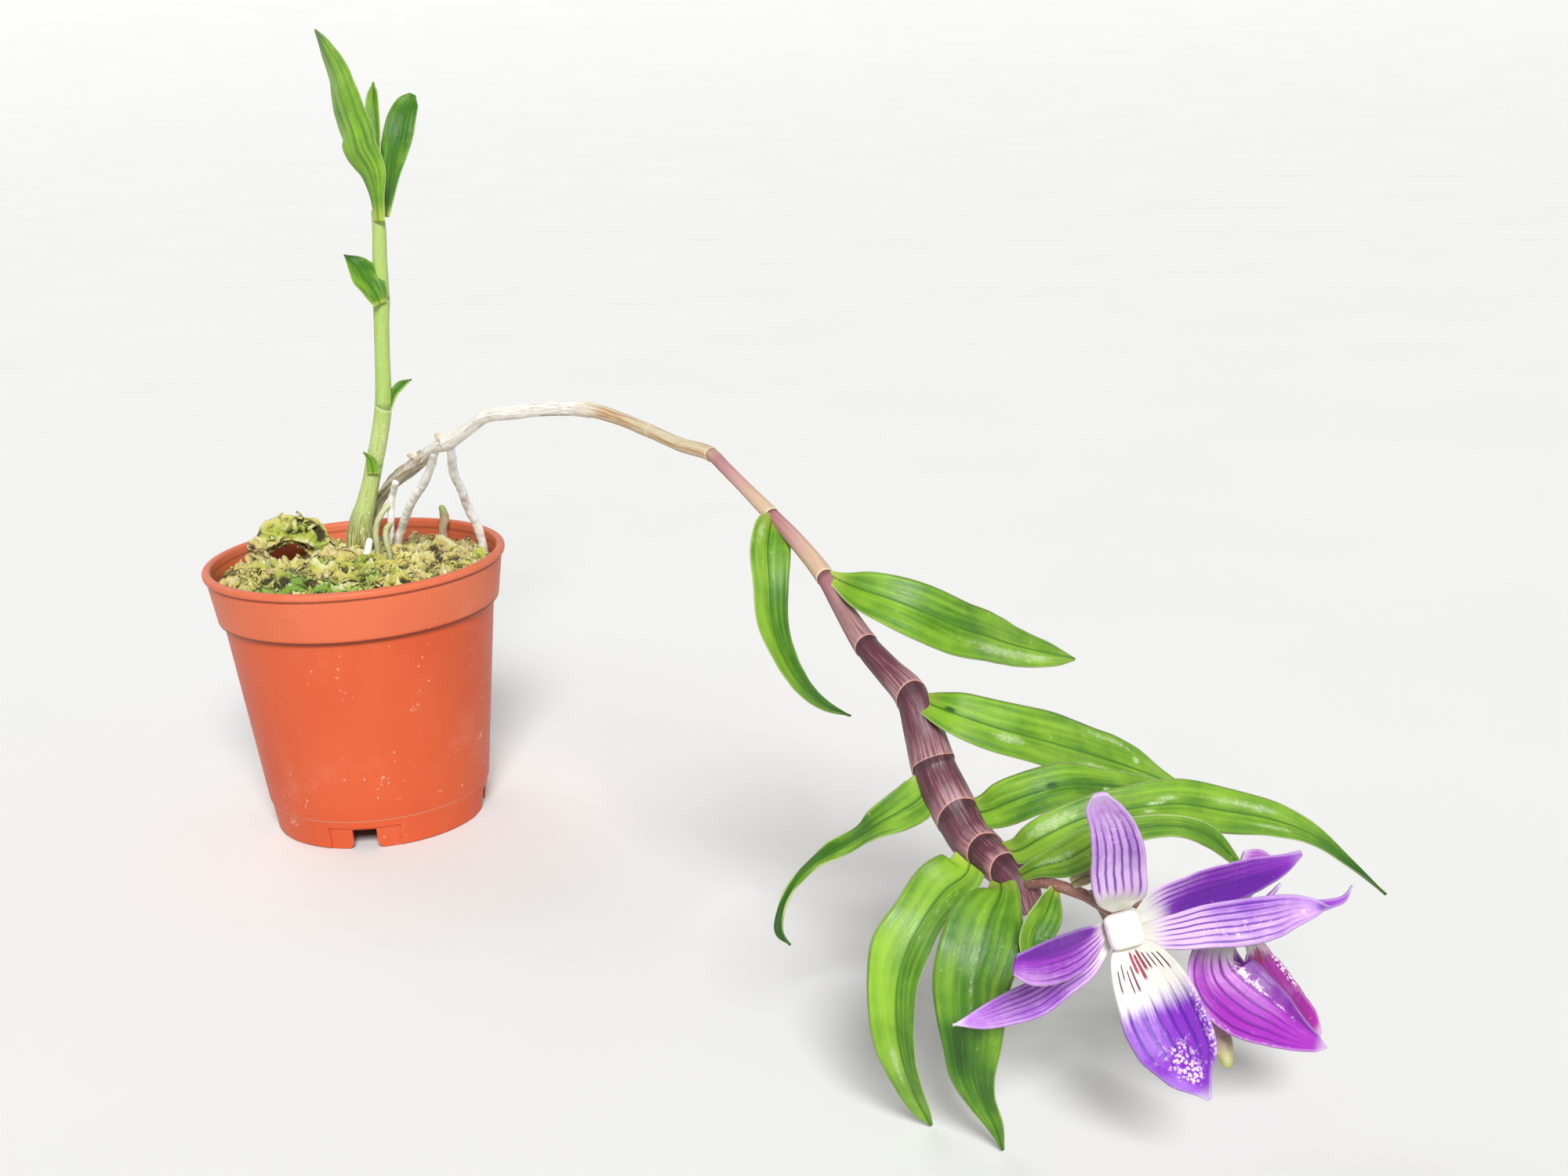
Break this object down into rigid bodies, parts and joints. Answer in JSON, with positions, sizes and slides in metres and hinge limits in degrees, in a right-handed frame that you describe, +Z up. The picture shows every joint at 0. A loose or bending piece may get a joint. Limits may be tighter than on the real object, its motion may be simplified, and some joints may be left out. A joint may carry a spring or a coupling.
{
  "type": "potted dendrobium orchid plant",
  "caption": "Miniature dendrobium orchid in a round nursery pot: upright young cane, and an old cane that arches over the rim with green leaves and violet flowers",
  "frame": {"origin": "middle of the whole plant's footprint, on the surface that the pot stands on", "axes": "+Z up; +X to the plant's right as the picture shows it, +Y away from the viewer; the old cane arches from the pot towards +X and -Y"},
  "size_m": [0.2012, 0.1998, 0.1568],
  "materials": {
    "pot": "satin terracotta-coloured moulded plastic",
    "moss": "dried, crumpled yellow-green moss",
    "young_cane": "smooth pale green living stem",
    "young_leaf": "fresh green young leaf, satin",
    "old_cane": "papery to purple-brown living stem with fine lengthwise lines",
    "root": "dry white aerial root",
    "green_root": "greenish aerial root",
    "stub": "dry brown shoot",
    "leaf": "green leaf, satin, with fine lengthwise veins",
    "stalk": "purple-brown living flower stalk",
    "bract": "dry papery bract",
    "sepal": "waxy lilac sepal with violet veins",
    "petal": "waxy violet petal",
    "lip": "waxy violet lip with a white base and dark streaks",
    "column": "waxy cream column",
    "bud": "waxy pink to yellow-green bud"
  },
  "bodies": {
    "root": {"pot": "pot", "moss_bed": "moss", "young_cane": "young_cane", "young_leaf_left": "young_leaf", "young_leaf_centre": "young_leaf", "young_leaf_right": "young_leaf", "young_leaf_middle": "young_leaf", "young_leaf_small": "young_leaf", "young_bract": "young_leaf", "old_cane": "old_cane", "root_right": "root", "root_middle": "root", "root_left": "root", "root_loop_outer": "green_root", "root_loop_inner": "green_root", "root_short": "root", "dead_stub": "stub", "old_leaf_1": "leaf", "old_leaf_2": "leaf", "old_leaf_3": "leaf", "old_leaf_4": "leaf", "old_leaf_5": "leaf", "old_leaf_6": "leaf", "old_leaf_7": "leaf", "old_leaf_8": "leaf", "old_leaf_9": "leaf", "old_leaf_10": "leaf", "flower_stalk": "stalk", "flower_stalk_bract": "bract", "flower_bud": "bud", "flower_1_column": "column", "flower_1_dorsal_sepal": "sepal", "flower_1_petal_right": "petal", "flower_1_sepal_right": "sepal", "flower_1_petal_left": "petal", "flower_1_sepal_left": "sepal", "flower_1_lip": "lip", "flower_2_column": "column", "flower_2_dorsal_sepal": "sepal", "flower_2_petal_left": "petal", "flower_2_petal_right": "petal", "flower_2_sepal_left": "sepal", "flower_2_sepal_right": "sepal", "flower_2_lip": "lip"}
  },
  "joints": []
}
